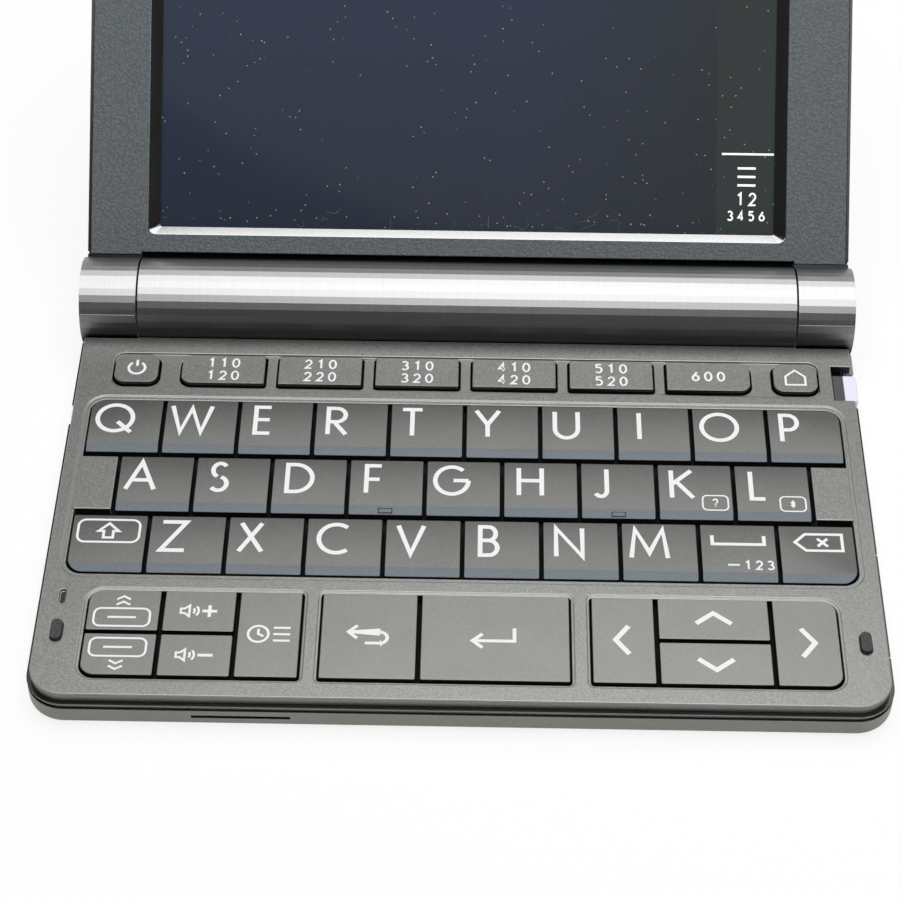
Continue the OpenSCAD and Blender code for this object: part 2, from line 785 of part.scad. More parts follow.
module lid_rear_cover() color("silver") in_lid() {
    difference() {
        union() {
            difference() {
                lid_slab(face_z - rim_drop);
                // Seat of the bezel inside the thin rim
                translate([0, 0, bezel_under])
                    linear_extrude(lid_t) lid_outline(rim_w, -1);
                // Space for the display
                translate([0, 0, back_z + lid_wall_t])
                    linear_extrude(lid_t) lid_outline(lid_wall_t + rim_w, lid_wall_t);
            }
            // Ears that carry the end knuckles
            lid_ears(0, lid_start - ear_gap, face_z - ear_drop);
            lid_ears(lid_start - 1, lid_start + 1, bezel_under);
            for (s = [-1, 1])
                translate([s * (knuckle_x + knuckle_l / 2), 0, 0])
                    flat_barrel(knuckle_l, flat_angle / 2);
        }
        // Bearing holes of the hinge pins
        for (s = [-1, 1])
            translate([s * (knuckle_x + (knuckle_l - pin_cover) / 2), 0, 0])
                rotate([0, 90, 0])
                    cylinder(r = pin_r + pin_fit, h = knuckle_l - pin_cover + small, center = true, $fn = 48);
    }
}

// A block beside each end of the barrel, as wide as the lid there, between two distances from the hinge
module lid_ears(from, to, top) {
    ear_w = lid_w / 2 - knuckle_x;
    for (s = [-1, 1])
        translate([s * (knuckle_x + ear_w / 2), (from + to) / 2, (back_z + top) / 2])
            cube([ear_w, to - from, top - back_z], center = true);
}

module lid_bezel() color([0.25, 0.28, 0.31]) in_lid() {
    tab_w = lid_w / 2 - rim_w - fit - knuckle_x;
    difference() {
        union() {
            translate([0, 0, bezel_under]) linear_extrude(bezel_t) lid_outline(rim_w + fit);
            // Corners that reach down to the knuckles
            for (s = [-1, 1])
                translate([s * (knuckle_x + tab_w / 2), lid_start + 1 - ear_gap / 2, face_z - bezel_t / 2])
                    cube([tab_w, 2 + ear_gap, bezel_t], center = true);
        }
        window_cut();
    }
}

// The window widens towards the bezel's face
module window_cut() {
    face_r = 1.6;
    inner_r = 0.4;
    hull() {
        translate([window_x, window_y, face_z + small])
            linear_extrude(small) window_2d(window_w, window_l, face_r);
        translate([window_x, window_y, bezel_under - small])
            linear_extrude(small)
                window_2d(window_w - 2 * window_slope, window_l - 2 * window_slope, inner_r);
    }
}

module window_2d(w, l, r) {
    translate([-w / 2, -l / 2]) corner_rect(w, l, [r, r, r, r], $fn = 32);
}

module display_panel() color([0.03, 0.05, 0.1]) in_lid() {
    glass_w = window_w - 2 * window_slope + 2 * panel_lap;
    glass_l = window_l - 2 * window_slope + 2 * panel_lap;
    module_in = 1.5;
    translate([window_x - glass_w / 2, window_y - glass_l / 2, bezel_under - glass_t])
        cube([glass_w, glass_l, glass_t]);
    translate([window_x - glass_w / 2 + module_in, window_y - glass_l / 2 + module_in, bezel_under - panel_t])
        cube([glass_w - 2 * module_in, glass_l - 2 * module_in, panel_t - glass_t + small]);
}

// ---- Keys and stylus ----

// A key cap: rounded outline, hollow underneath, with a plunger and, on letter keys, a sloping front
module key_cap(k) {
    x = k[1];
    rear = k[2];
    w = k[3];
    d = k[4];
    top = deck_z + k[5];
    slope = k[6];
    from_axis() {
        difference() {
            intersection() {
                translate([0, 0, key_foot]) linear_extrude(top - key_foot) key_outline(k, 0);
                // Side view of the cap
                translate([x - 1, 0, 0])
                    rotate([90, 0, 90])
                        linear_extrude(w + 2)
                            polygon([[-rear + 1, 0], [-rear + 1, top], [-rear - d + slope, top],
                                [-rear - d, top - (slope > 0 ? key_drop : 0)], [-rear - d - 1, 0]]);
            }
            // Hollow round the plunger
            difference() {
                translate([x + key_wall, -rear - d + key_wall, key_foot - 1])
                    cube([w - 2 * key_wall, d - 2 * key_wall, top - key_drop - key_wall - key_foot + 1]);
                translate([x + w / 2, -rear - d / 2, key_foot - 2]) cylinder(r = plunger_r, h = 10, $fn = 32);
            }
        }
        if (k[0] == "key_f" || k[0] == "key_j") home_bar(x + w / 2, -rear - d, top);
    }
}

// Raised bar that a fingertip finds, low on the sloping front of a key
module home_bar(x, front, top) {
    share = 0.45;
    translate([x, front + share * key_slope, top - (1 - share) * key_drop])
        rotate([atan(key_drop / key_slope), 0, 0])
            cube([home_bar_l, home_bar_w, 2 * home_bar_h], center = true);
}

module stylus() color([0.85, 0.85, 0.92]) from_axis() {
    shaft_w = stylus_w - 1.2;
    base_z = floor_z + fit;
    // Flat shaft with a round tip
    translate([stylus_head_x - stylus_l + shaft_w / 2, -stylus_y + stylus_w / 2, base_z])
        linear_extrude(stylus_t - fit) {
            circle(shaft_w / 2, $fn = 40);
            translate([0, -shaft_w / 2]) square([stylus_l - shaft_w / 2 + small, shaft_w]);
        }
    // Head that the finger pulls
    translate([stylus_head_x, -stylus_y, base_z])
        linear_extrude(deck_z - head_drop - base_z)
            corner_rect(stylus_head_l, stylus_w, [0, head_corner_r, head_corner_r, 0]);
}

lower_case();
upper_case();
hinge_barrel();
battery_cover();
battery_cells();
circuit_board();
hinge_pins();
stylus();
rubber_feet();
lid_rear_cover();
lid_bezel();
display_panel();
for (k = KEYS) color([0.4, 0.4, 0.39]) key_cap(k);
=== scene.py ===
"""Looks of the electronic dictionary: finishes, fine parts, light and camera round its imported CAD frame."""
import json
import math

import bmesh
import bpy
from mathutils import Matrix, Vector

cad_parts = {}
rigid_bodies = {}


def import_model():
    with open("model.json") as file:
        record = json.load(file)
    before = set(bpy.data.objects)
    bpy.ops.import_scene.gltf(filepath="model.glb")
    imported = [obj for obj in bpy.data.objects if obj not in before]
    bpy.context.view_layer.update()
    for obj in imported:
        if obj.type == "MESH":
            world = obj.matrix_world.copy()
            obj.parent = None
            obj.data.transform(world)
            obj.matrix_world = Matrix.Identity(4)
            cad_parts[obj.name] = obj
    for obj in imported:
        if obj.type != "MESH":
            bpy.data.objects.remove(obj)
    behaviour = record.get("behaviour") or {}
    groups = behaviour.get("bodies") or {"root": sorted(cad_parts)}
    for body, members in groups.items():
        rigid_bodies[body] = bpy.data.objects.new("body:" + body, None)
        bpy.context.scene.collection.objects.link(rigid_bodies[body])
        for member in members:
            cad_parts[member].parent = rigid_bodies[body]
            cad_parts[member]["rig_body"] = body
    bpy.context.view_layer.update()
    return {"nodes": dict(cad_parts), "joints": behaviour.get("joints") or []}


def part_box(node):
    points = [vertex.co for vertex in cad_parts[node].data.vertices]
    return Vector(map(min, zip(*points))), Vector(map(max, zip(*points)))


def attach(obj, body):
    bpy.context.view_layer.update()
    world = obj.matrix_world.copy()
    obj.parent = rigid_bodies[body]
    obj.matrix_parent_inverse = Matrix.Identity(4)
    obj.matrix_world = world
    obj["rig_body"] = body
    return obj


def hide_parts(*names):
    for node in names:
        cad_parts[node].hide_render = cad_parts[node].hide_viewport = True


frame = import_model()
BODY_OF = {n: o["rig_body"] for n, o in frame["nodes"].items()}
BOX = {n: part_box(n) for n in frame["nodes"]}
KEYS = sorted(n for n in frame["nodes"] if n.startswith("key_"))
MM = 0.001

# Hinge axis and the lid's own frame: X right, Y away from the hinge, Z out of the display
HINGE = next(j for j in frame["joints"] if j["name"] == "lid_hinge")
AXIS = Vector(HINGE["pos_m"])
LID_TILT = math.radians(180 - HINGE["range_deg"][1])
LID = Matrix.Translation(AXIS) @ Matrix.Rotation(LID_TILT, 4, "X")
ROW = Matrix()
BARREL_R = BOX["hinge_barrel"][1].z - AXIS.z

# The deck's surface, which the letter keys stand above
KEY_PROUD = 0.3 * MM
DECK_Z = BOX["key_q"][1].z - KEY_PROUD


def in_lid(node):
    """The points of a CAD node in the lid's own frame."""
    return [LID.inverted() @ v.co for v in frame["nodes"][node].data.vertices]


# In the lid's frame: its far end, the display's glass, and the left side of the touch strip
LID_END = max(p.y for p in in_lid("lid_rear_cover"))
GLASS_POINTS = in_lid("display_panel")
GLASS_TOP = max(p.z for p in GLASS_POINTS)
GLASS_NEAR, GLASS_FAR = min(p.y for p in GLASS_POINTS), max(p.y for p in GLASS_POINTS)
TOUCH_X = 48.0 * MM


# ---- Shader helpers ----

# Most of a noise lies between these values. The faint patches on most surfaces are this large, in mm.
NOISE = (0.3, 0.7)
PATCH = 9.0


class Nodes:
    """A node tree to add to. An input is a number, a colour or another node's output."""

    def __init__(self, tree):
        self.tree = tree

    def add(self, kind, inputs=None, **settings):
        node = self.tree.nodes.new(kind)
        for key, value in settings.items():
            setattr(node, key, value)
        for key, value in (inputs or {}).items():
            self.plug(node.inputs[key], value)
        return node

    def plug(self, socket, value):
        if isinstance(value, bpy.types.NodeSocket):
            self.tree.links.new(value, socket)
        elif socket.type == "RGBA" and len(value) == 3:
            socket.default_value = (*value, 1)
        else:
            socket.default_value = value

    def math(self, operation, a, b=0.0, clamp=False):
        return self.add("ShaderNodeMath", {0: a, 1: b}, operation=operation, use_clamp=clamp).outputs[0]

    def between(self, value, low, high, out_low=0.0, out_high=1.0, **settings):
        """Carries a value from one range over to another."""
        return self.add("ShaderNodeMapRange", {
            "Value": value, "From Min": low, "From Max": high,
            "To Min": out_low, "To Max": out_high}, **settings).outputs[0]

    def blend(self, factor, a, b):
        """A number between two others."""
        return self.add("ShaderNodeMix", {"Factor": factor, "A": a, "B": b}).outputs[0]


class Look(Nodes):
    """A material: one Principled BSDF with a plain colour and roughness, and the nodes that feed it."""

    def __init__(self, name, color, roughness, **sockets):
        self.material = bpy.data.materials.new(name)
        self.material.use_nodes = True
        super().__init__(self.material.node_tree)
        self.bsdf = next(n for n in self.tree.nodes if n.type == "BSDF_PRINCIPLED")
        self.place = self.add("ShaderNodeTexCoord").outputs["Object"]
        self.color = color
        self.roughness = roughness
        self.feed("Base Color", color)
        self.feed("Roughness", roughness)
        for socket, value in sockets.items():
            self.feed(socket.replace("_", " "), value)

    def feed(self, socket, value):
        self.plug(self.bsdf.inputs[socket], value)

    def axis(self, name):
        return self.add("ShaderNodeSeparateXYZ", {0: self.place}).outputs[name]

    def stretched(self, x, y, z):
        inputs = {0: self.place, 1: (x, y, z)}
        return self.add("ShaderNodeVectorMath", inputs, operation="MULTIPLY").outputs[0]

    def noise(self, size_mm, detail=3.0, roughness=0.5, vector=None):
        return self.add("ShaderNodeTexNoise", {
            "Vector": vector or self.place, "Scale": 1 / (size_mm * MM), "Detail": detail,
            "Roughness": roughness}).outputs[0]

    def cells(self, size_mm):
        """Distance from the nearest of scattered points."""
        return self.add("ShaderNodeTexVoronoi", {
            "Vector": self.place, "Scale": 1 / (size_mm * MM)}).outputs["Distance"]

    def band(self, value, low, high):
        """1 between two values, in metres or as they come, and 0 outside."""
        above = self.math("GREATER_THAN", value, low)
        return self.math("MULTIPLY", above, self.math("LESS_THAN", value, high))

    def mix(self, factor, a, b):
        """A colour between two others."""
        node = self.add("ShaderNodeMix", data_type="RGBA")
        self.plug(node.inputs["Factor"], factor)
        self.plug(node.inputs[6], a)
        self.plug(node.inputs[7], b)
        return node.outputs[2]

    def bump(self, height, depth_mm):
        self.feed("Normal", self.add("ShaderNodeBump", {
            "Height": height, "Distance": depth_mm * MM}).outputs[0])

    def grained(self, grain_mm, depth_mm, spread, speckle):
        """A moulded or painted surface: faint patches, a fine grain in colour, gloss and relief."""
        fine = self.noise(grain_mm, 2.0, 0.6)
        patches = self.between(self.noise(PATCH, 4.0), *NOISE, -spread, spread)
        change = self.math("ADD", patches, self.between(fine, *NOISE, -speckle, speckle))
        reach = spread + speckle
        darker, lighter = ([c * (1 + s * reach) for c in self.color] for s in (-1, 1))
        self.feed("Base Color", self.mix(self.between(change, -reach, reach), darker, lighter))
        self.feed("Roughness", self.between(fine, *NOISE, self.roughness * 0.9, self.roughness * 1.1))
        self.bump(fine, depth_mm)
        return self


def moulded(name, color, roughness, grain_mm, depth_mm, spread, speckle, **sockets):
    """A plain material. spread and speckle are the shares by which patches and grain change its colour."""
    return Look(name, color, roughness, **sockets).grained(grain_mm, depth_mm, spread, speckle)


def painted(name, color, roughness, depth_mm, speckle, metallic):
    """The metal-flake paint of the deck and the keys, in one grain."""
    return moulded(name, color, roughness, 0.26, depth_mm, 0.03, speckle, Metallic=metallic)


def grey(value):
    return (value, value, value)


# How far the painted shade in crevices reaches on the silver, and how steeply it darkens
PAINTED_SHADE_REACH, PAINTED_SHADE_POWER = 10 * MM, 2.4


def brushed_silver(name, color, roughness):
    """Satin metal paint, faintly drawn round the barrel, with painted shade darkening it in its crevices."""
    look = Look(name, color, roughness, Metallic=1.0)
    drawn = look.noise(0.3, 3.0, 0.6, look.stretched(1, 0.02, 0.02))
    fine = look.noise(0.2, 1.0)
    change = look.math("ADD", look.math("MULTIPLY", drawn, 0.5), look.math("MULTIPLY", fine, 0.5))
    darker, lighter = ([c * s for c in color] for s in (0.94, 1.06))
    drawn_range = (0.35, 0.65)
    paint = look.mix(look.between(change, *drawn_range), darker, lighter)
    # Painted shade: ambient occlusion darkens the base colour wherever other parts are near
    painted_shade_ao = look.add("ShaderNodeAmbientOcclusion", {"Distance": PAINTED_SHADE_REACH}, samples=8).outputs["AO"]
    look.feed("Base Color", look.mix(look.math("POWER", painted_shade_ao, PAINTED_SHADE_POWER), grey(0.0), paint))
    look.feed("Roughness", look.between(change, *drawn_range, roughness * 0.94, roughness * 1.06))
    look.bump(fine, 0.002)
    return look


def leather(name, color, roughness):
    """Moulded leather grain: rounded cells of two sizes under a fine roughness."""
    look = Look(name, color, roughness, Specular_IOR_Level=0.4)
    large = look.math("MULTIPLY", look.cells(0.6), 0.5)
    small = look.math("MULTIPLY", look.cells(0.33), 0.3)
    fine = look.math("MULTIPLY", look.noise(0.18, 2.0, 0.6), 0.5)
    relief = look.math("ADD", look.math("ADD", large, small), fine)
    darker, lighter = ([c * s for c in color] for s in (0.7, 1.3))
    look.feed("Base Color", look.mix(look.between(relief, 0.25, 0.75), lighter, darker))
    look.bump(relief, -0.12)
    return look


# Width of the strip along the glass's near edge where dust and lint gather
DUSTY_EDGE = 6 * MM


def display(name):
    """Dark display under glass, with a painted sheen that makes it lighter and bluer towards its far end and
    its left, a paler touch strip on its right and dust on the glass.
    """
    look = Look(name, grey(0.02), 0.07, Specular_IOR_Level=0.04)
    x = look.axis("X")
    strip = look.math("GREATER_THAN", x, TOUCH_X)
    # Painted sheen: the panel's colour grows lighter and bluer towards the glass's far end, and bluer on its
    # left
    glow = look.between(look.axis("Y"), GLASS_NEAR, GLASS_FAR)
    blue = look.mix(glow, (0.029, 0.036, 0.055), (0.034, 0.048, 0.088))
    neutral = look.mix(glow, (0.027, 0.032, 0.037), (0.036, 0.044, 0.055))
    picture = look.mix(look.between(x, 0.2 * TOUCH_X, TOUCH_X), blue, neutral)
    panel = look.mix(strip, picture, (0.036, 0.044, 0.045))
    # Specks of dust in loose patches and along the near edge, and lint there, where a noise is near its middle
    specks = look.math("LESS_THAN", look.cells(1.3), 0.09)
    here = look.math("GREATER_THAN", look.noise(5.0, 2.0), 0.52)
    near = look.math("LESS_THAN", look.axis("Y"), GLASS_NEAR + DUSTY_EDGE)
    lint = look.band(look.noise(2.2, 0.0), 0.498, 0.502)
    lint = look.math("MULTIPLY", lint, look.math("GREATER_THAN", look.noise(3.1, 1.0), 0.6))
    dust = look.math("MULTIPLY", specks, look.math("MAXIMUM", here, near))
    dust = look.math("MAXIMUM", dust, look.math("MULTIPLY", lint, near))
    look.feed("Base Color", look.mix(dust, panel, grey(0.5)))
    smear = look.between(look.noise(14.0), *NOISE, 0.05, 0.09)
    look.feed("Roughness", look.math("ADD", smear, look.math("MULTIPLY", dust, 0.5)))
    return look


def circuit(name):
    """Green solder mask over faint copper traces, with pale dots for the vias."""
    look = Look(name, (0.015, 0.09, 0.04), 0.3)
    trace = look.add("ShaderNodeTexBrick", {
        "Vector": look.place, "Color1": (0.02, 0.13, 0.06), "Color2": (0.014, 0.10, 0.045),
        "Mortar": (0.01, 0.05, 0.025), "Scale": 130.0, "Mortar Size": 0.035}).outputs["Color"]
    vias = look.math("LESS_THAN", look.cells(2.6), 0.12)
    look.feed("Base Color", look.mix(vias, trace, (0.55, 0.5, 0.38)))
    look.bump(look.noise(0.5), 0.01)
    return look


# Where the bands of the two cells begin, from the middle of the barrel
CELL_BAND = 38 * MM


def cell_jacket(name):
    """The cells' printed jackets: a dark body and a gold band at each outer end."""
    look = Look(name, (0.1, 0.11, 0.13), 0.28)
    band = look.math("GREATER_THAN", look.math("ABSOLUTE", look.axis("X")), CELL_BAND)
    fine = look.noise(0.2, 2.0)
    dark = look.mix(look.between(fine, *NOISE), (0.08, 0.09, 0.11), (0.11, 0.12, 0.14))
    look.feed("Base Color", look.mix(band, dark, (0.55, 0.42, 0.16)))
    return look


# Where the stylus's dark collar lies, from the end of its head
COLLAR_FROM, COLLAR_TO = 4.7 * MM, 2.5 * MM


def stylus_ends(name):
    """Pale plastic with a dark collar where the head meets the case."""
    look = Look(name, (0.78, 0.78, 0.90), 0.3)
    head = BOX["stylus"][1].x
    collar = look.band(look.axis("X"), head - COLLAR_FROM, head - COLLAR_TO)
    fine = look.noise(0.4, 2.0)
    pale = look.mix(look.between(fine, *NOISE), (0.76, 0.76, 0.89), (0.80, 0.80, 0.92))
    look.feed("Base Color", look.mix(collar, pale, grey(0.06)))
    look.bump(fine, 0.002)
    return look


# After the colour come roughness, grain and relief in mm, and the shares of patches and speckle. Paints give
# no grain and no patches, and end with their share of metal.
DECK = painted("deck_paint", (0.205, 0.209, 0.197), 0.35, 0.018, 0.3, 0.75)
KEY_TOP = painted("key_top", (0.098, 0.100, 0.094), 0.36, 0.012, 0.17, 0.75)
# Painted shade: the slope at each key's front takes a darker, bluer copy of the key paint, for the less light
# that falls on it
SHADED_KEY_SLOPE = painted("key_slope", (0.077, 0.091, 0.102), 0.38, 0.010, 0.2, 0.5)
FRONT_TOP = painted("front_key_top", (0.185, 0.188, 0.177), 0.35, 0.010, 0.12, 0.75)
# Painted highlight: a paler paint on the deck's bevelled edges, where light would catch them
PAINTED_HIGHLIGHT_RIM = painted("deck_rim", (0.32, 0.325, 0.31), 0.35, 0.004, 0.1, 0.6)
BLACK = moulded("black_plastic", grey(0.012), 0.2, 0.5, 0.003, 0.1, 0.3)
CASE = moulded("lower_case_plastic", (0.25, 0.245, 0.215), 0.45, 0.3, 0.008, 0.04, 0.1)
SHADE = moulded("gap_black", grey(0.01), 0.7, 0.5, 0.003, 0.1, 0.3, Specular_IOR_Level=0.1)
RUBBER = moulded("rubber", grey(0.05), 0.8, 0.35, 0.09, 0.1, 0.6)
INK = moulded("white_ink", grey(0.82), 0.5, 0.2, 0.002, 0.01, 0.03)
STEEL = moulded("ground_steel", grey(0.6), 0.25, 0.4, 0.002, 0.03, 0.05, Metallic=1.0)
BRASS = moulded("plated_contact", (0.75, 0.66, 0.45), 0.2, 0.4, 0.002, 0.03, 0.05, Metallic=1.0)
# Painted highlight: pale paint on the knuckles' seam strips stands in for the light that catches the seam
PAINTED_HIGHLIGHT_SEAM = moulded("seam_edge", grey(0.5), 0.4, 0.2, 0.002, 0.01, 0.05)
STYLUS = stylus_ends("stylus_plastic")
# The silver and the window trim both carry painted shade in their crevices
SILVER = brushed_silver("satin_silver", grey(0.37), 0.39)
TRIM = brushed_silver("window_trim", grey(0.36), 0.2)
BEZEL = leather("bezel_leather", (0.124, 0.143, 0.156), 0.5)
GLASS = display("display_glass")
BOARD = circuit("circuit_board_mask")
JACKET = cell_jacket("cell_jacket")
# Painted glow: the printed icons give off light of their own, though nothing in them is a lamp
PAINTED_GLOW_ICON = moulded("panel_icon", grey(0.85), 0.4, 0.2, 0.001, 0.01, 0.02,
               Emission_Color=(1, 1, 1, 1), Emission_Strength=0.35)


# ---- CAD nodes: whole faces, rounded edges, a finish for each kind of face ----

# The barrel's flats lie within these distances inside and outside of its radius
FLAT_INSIDE, FLAT_OUTSIDE = 0.05 * MM, 0.2 * MM

# Points of a CAD mesh nearer than this are one, and faces that meet within this angle are one
WELD, MERGE_ANGLE = 1e-6, math.radians(0.4)


def radius(point):
    """Distance of a point of the row frame from the hinge axis."""
    return math.hypot(point.y - AXIS.y, point.z - AXIS.z)


def on_flats(edge):
    """Whether an edge lies on the outside of the barrel or of a knuckle."""
    return all(BARREL_R - FLAT_INSIDE < radius(v.co) < BARREL_R + FLAT_OUTSIDE for v in edge.verts)


def put(name, mesh, looks, space, body):
    """A piece of the object at its place, on a CAD body."""
    obj = bpy.data.objects.new(name, mesh)
    bpy.context.scene.collection.objects.link(obj)
    obj.matrix_world = space
    for look in looks:
        mesh.materials.append(look.material)
    if body:
        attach(obj, body)
    return obj


def refined(node, looks, choose=None, space=ROW, width=0.12, segments=2, corner=25, facet=None,
            extra=None, clamp=False, rim=-1):
    """A copy of a CAD node that stands for it, with whole faces and bevelled edges.

    choose gives each face its look. Edges above corner degrees are bevelled over width, in mm. On the
    barrel's flats, those above facet degrees stay crisp. extra works on the mesh once its faces are chosen.
    clamp keeps bevels from meeting, and rim is their look, where they have one of their own.
    """
    bm = bmesh.new()
    bm.from_mesh(frame["nodes"][node].data)
    bmesh.ops.remove_doubles(bm, verts=bm.verts, dist=WELD)
    bmesh.ops.dissolve_limit(bm, angle_limit=MERGE_ANGLE, verts=bm.verts, edges=bm.edges)
    bm.normal_update()
    for face in bm.faces:
        face.smooth = True
        face.material_index = choose(face) if choose else 0
    for edge in bm.edges:
        limit = math.radians(facet if facet and on_flats(edge) else corner)
        edge.smooth = len(edge.link_faces) == 2 and edge.calc_face_angle(0.0) < limit
    if extra:
        extra(bm)
    bm.transform(space.inverted())
    mesh = bpy.data.meshes.new(node)
    bm.to_mesh(mesh)
    bm.free()
    obj = put(f"{node}.look", mesh, looks, space, BODY_OF[node])
    bevel = obj.modifiers.new("edges", "BEVEL")
    bevel.limit_method = "ANGLE"
    bevel.angle_limit = math.radians(corner)
    bevel.width = width * MM
    bevel.segments = segments
    bevel.use_clamp_overlap = clamp
    bevel.material = rim
    bevel.harden_normals = True
    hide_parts(node)


# Wall and corner of the two cases as on_rim takes them, in mm, and of the lid
UPPER_RIM = (1.2, 7)
LOWER_RIM = (0.8, 8)
LID_WALL, LID_CORNER = 0.8 * MM, 8 * MM

# Depths under the deck: a face of the microphone slot reaches below the first, with its middle above the
# second, and the wall of an opening reaches below the third
SLOT_TOP, SLOT_FLOOR, OPENING = 0.45 * MM, 0.6 * MM, 1.0 * MM

# Heights between which the speaker slit lies in the front wall
SLIT_LOW, SLIT_HIGH = 2.6 * MM, 3.4 * MM

# Shares of a normal along an axis: below UPRIGHT a face runs along the axis, above FACING it faces that way,
# above NEARLY_LEVEL it is no slope, and above LEVEL it is flat. A key's slope leans forward by over SLANT.
UPRIGHT, FACING, NEARLY_LEVEL, LEVEL, SLANT = 0.3, 0.5, 0.95, 0.99, 0.1


def on_rim(face, node, depth, corner):
    """Whether a face lies in the outer wall of a case, with its rounded front corners."""
    lo, hi = BOX[node]
    at, normal = face.calc_center_median(), face.normal
    in_corner = abs(at.x) > hi.x - corner * MM and at.y < lo.y + corner * MM
    outward = normal.x * at.x > 0 and normal.y < 0
    return abs(at.x) > hi.x - depth * MM or at.y < lo.y + depth * MM or (in_corner and outward)


def upper_case_face(face):
    """The deck and outer walls, or the black walls of its openings and the microphone slot."""
    lowest = min(v.co.z for v in face.verts)
    slot = lowest < DECK_Z - SLOT_TOP and face.calc_center_median().z > DECK_Z - SLOT_FLOOR
    wall = lowest < DECK_Z - OPENING and face.normal.z < UPRIGHT
    return 1 if (slot or wall) and not on_rim(face, "upper_case", *UPPER_RIM) else 0


def lower_case_face(face):
    """The outside of the case, or its inside and the speaker slit."""
    heights = [v.co.z for v in face.verts]
    slit = min(heights) > SLIT_LOW and max(heights) < SLIT_HIGH and abs(face.normal.y) < FACING
    outside = on_rim(face, "lower_case", *LOWER_RIM) or face.normal.z < -FACING
    return 1 if slit or not outside else 0


# A face this much inside or outside of the barrel's radius counts as its surface
BARREL_SKIN = 0.3 * MM


def barrel_face(face):
    """Painted outside, black inside and at the ends."""
    outside = radius(face.calc_center_median()) > BARREL_R - BARREL_SKIN
    return 0 if outside and abs(face.normal.x) < FACING else 1


def key_face(face):
    """The flat top, the slope at the front with its painted shade, or the sides."""
    if face.normal.z > LEVEL:
        return 0
    return 1 if face.normal.z > FACING and face.normal.y < -SLANT else 2


# The lid's inward faces nearer to the hinge than this are black
LID_NEAR = 1.6 * BARREL_R

# The near side of the window's border in the lid's frame, and the moves of its outer and inner edge
TRIM_HALF, TRIM_NEAR, TRIM_FAR = 62 * MM, 11.5 * MM, 15.5 * MM
TRIM_OUTER_SHIFT, TRIM_INNER_SHIFT, TRIM_INNER_RISE = 0.95 * MM, 0.35 * MM, 0.5 * MM


def lid_face(face):
    """Painted outside, black inside, on the rim and at the near edge."""
    at = face.calc_center_median()
    local, normal = LID.inverted() @ at, LID.to_3x3().inverted() @ face.normal
    inward = (at - AXIS).yz.dot(face.normal.yz) < 0
    if radius(at) < BARREL_R + BARREL_SKIN and not inward:
        return barrel_face(face)
    half = BOX["lid_rear_cover"][1].x
    wall = abs(local.x) > half - LID_WALL or local.y > LID_END - LID_WALL or normal.z < -UPRIGHT
    in_corner = abs(local.x) > half - LID_CORNER and local.y > LID_END - LID_CORNER
    outward = normal.x * local.x > 0 and normal.y > 0
    by_barrel = local.y <= BARREL_R or (inward and local.y < LID_NEAR)
    return 0 if (wall or in_corner and outward) and normal.z < FACING and not by_barrel else 1


def narrow_trim(bm):
    """Draws the near side of the window's sloping border closer to the glass, and makes it flatter."""
    for v in bm.verts:
        local = LID.inverted() @ v.co
        if abs(local.x) < TRIM_HALF and TRIM_NEAR < local.y < TRIM_FAR:
            shift, rise = (TRIM_OUTER_SHIFT, 0.0) if local.z > 0 else (TRIM_INNER_SHIFT, TRIM_INNER_RISE)
            local.y += shift
            local.z += rise
            v.co = LID @ local


def bezel_face(face):
    """The bezel's face and outer edges, or the window's sloping border."""
    normal = LID.to_3x3().inverted() @ face.normal
    return 1 if UPRIGHT < normal.z < NEARLY_LEVEL else 0


# ---- Print on the keys and the touch strip ----

def line(*points):
    return [Vector(p) for p in points]


def arc(cx, cy, rx, ry, start, end, steps=14):
    turns = [math.radians(start + (end - start) * i / steps) for i in range(steps + 1)]
    return [Vector((cx + rx * math.cos(t), cy + ry * math.sin(t))) for t in turns]


def ring(cx=0.5, cy=0.5, rx=0.5, ry=0.5):
    return arc(cx, cy, rx, ry, 90, 450, 32)


def rounded_box(w, h, r):
    corners = ((w / 2 - r, h / 2 - r, 0), (r - w / 2, h / 2 - r, 90), (r - w / 2, r - h / 2, 180),
               (w / 2 - r, r - h / 2, 270))
    path = [p for x, y, turn in corners for p in arc(x, y, r, r, turn, turn + 90, 6)]
    return path + [path[0]]


# From where to where, in degrees, the bowl of a B, D, P or R turns
BOWL = (90, -90)

